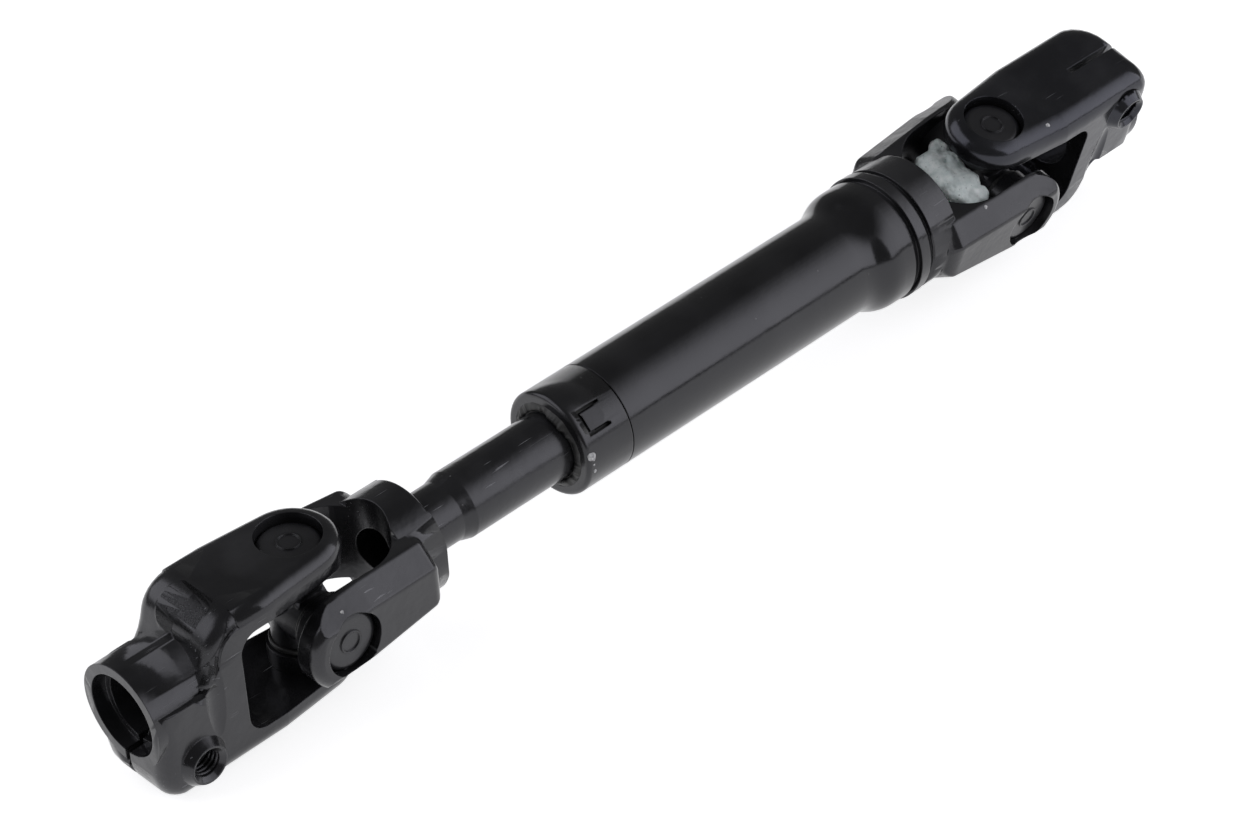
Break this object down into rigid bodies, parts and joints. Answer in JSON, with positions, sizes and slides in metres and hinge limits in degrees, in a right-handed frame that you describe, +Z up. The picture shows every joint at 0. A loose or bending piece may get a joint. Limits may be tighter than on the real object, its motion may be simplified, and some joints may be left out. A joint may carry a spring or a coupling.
{
  "type": "steering universal joint shaft",
  "caption": "Collapsible splined steering shaft with a needle-bearing universal joint and a split clamp yoke at each end.",
  "frame": {"origin": "on the floor, midway between the two joints, below the shaft's axis", "axes": "+X along the shaft from the lower (slip shaft) end to the upper (tube) end, +Z up"},
  "size_m": [0.3384, 0.044, 0.0458],
  "materials": {
    "black_paint": "gloss black",
    "cup_paint": "gloss black",
    "cross_paint": "semi-gloss black",
    "black_rubber": "matte",
    "steel": "ground",
    "grease": "soft, greasy"
  },
  "bodies": {
    "tube_body": {"outer_tube": "black_paint", "end_cap": "black_paint", "lip_seal": "black_rubber", "spline_sleeve": "steel", "tube_yoke": "black_paint", "upper_cup_front": "cup_paint", "upper_cup_back": "cup_paint", "upper_needles_front": "steel", "upper_needles_back": "steel"},
    "shaft_body": {"slip_shaft_yoke": "black_paint", "lower_cup_front": "cup_paint", "lower_cup_back": "cup_paint", "lower_needles_front": "steel", "lower_needles_back": "steel"},
    "lower_cross_body": {"lower_cross": "cross_paint", "lower_seal_top": "black_rubber", "lower_seal_bottom": "black_rubber", "lower_seal_front": "black_rubber", "lower_seal_back": "black_rubber"},
    "upper_cross_body": {"upper_cross": "cross_paint", "grease": "grease", "upper_seal_top": "black_rubber", "upper_seal_bottom": "black_rubber", "upper_seal_front": "black_rubber", "upper_seal_back": "black_rubber"},
    "lower_clamp_body": {"lower_clamp_yoke": "black_paint", "lower_cup_top": "cup_paint", "lower_cup_bottom": "cup_paint", "lower_needles_top": "steel", "lower_needles_bottom": "steel"},
    "upper_clamp_body": {"upper_clamp_yoke": "black_paint", "upper_cup_top": "cup_paint", "upper_cup_bottom": "cup_paint", "upper_needles_top": "steel", "upper_needles_bottom": "steel"}
  },
  "joints": [
    {"name": "shaft_slide", "type": "slide", "parent": "tube_body", "child": "shaft_body", "axis": [1, 0, 0], "range_m": [-0.018, 0.022]},
    {"name": "shaft_fork_hinge", "type": "hinge", "parent": "shaft_body", "child": "lower_cross_body", "pos_m": [-0.118, 0, 0.02304], "axis": [0, 1, 0], "range_deg": [-30, 30]},
    {"name": "lower_clamp_hinge", "type": "hinge", "parent": "lower_cross_body", "child": "lower_clamp_body", "pos_m": [-0.118, 0, 0.02304], "axis": [0, 0, 1], "range_deg": [-30, 30]},
    {"name": "tube_fork_hinge", "type": "hinge", "parent": "tube_body", "child": "upper_cross_body", "pos_m": [0.118, 0, 0.02304], "axis": [0, 0.9563, 0.2924], "range_deg": [-30, 30]},
    {"name": "upper_clamp_hinge", "type": "hinge", "parent": "upper_cross_body", "child": "upper_clamp_body", "pos_m": [0.118, 0, 0.02304], "axis": [0, -0.2924, 0.9563], "range_deg": [-30, 30]}
  ]
}
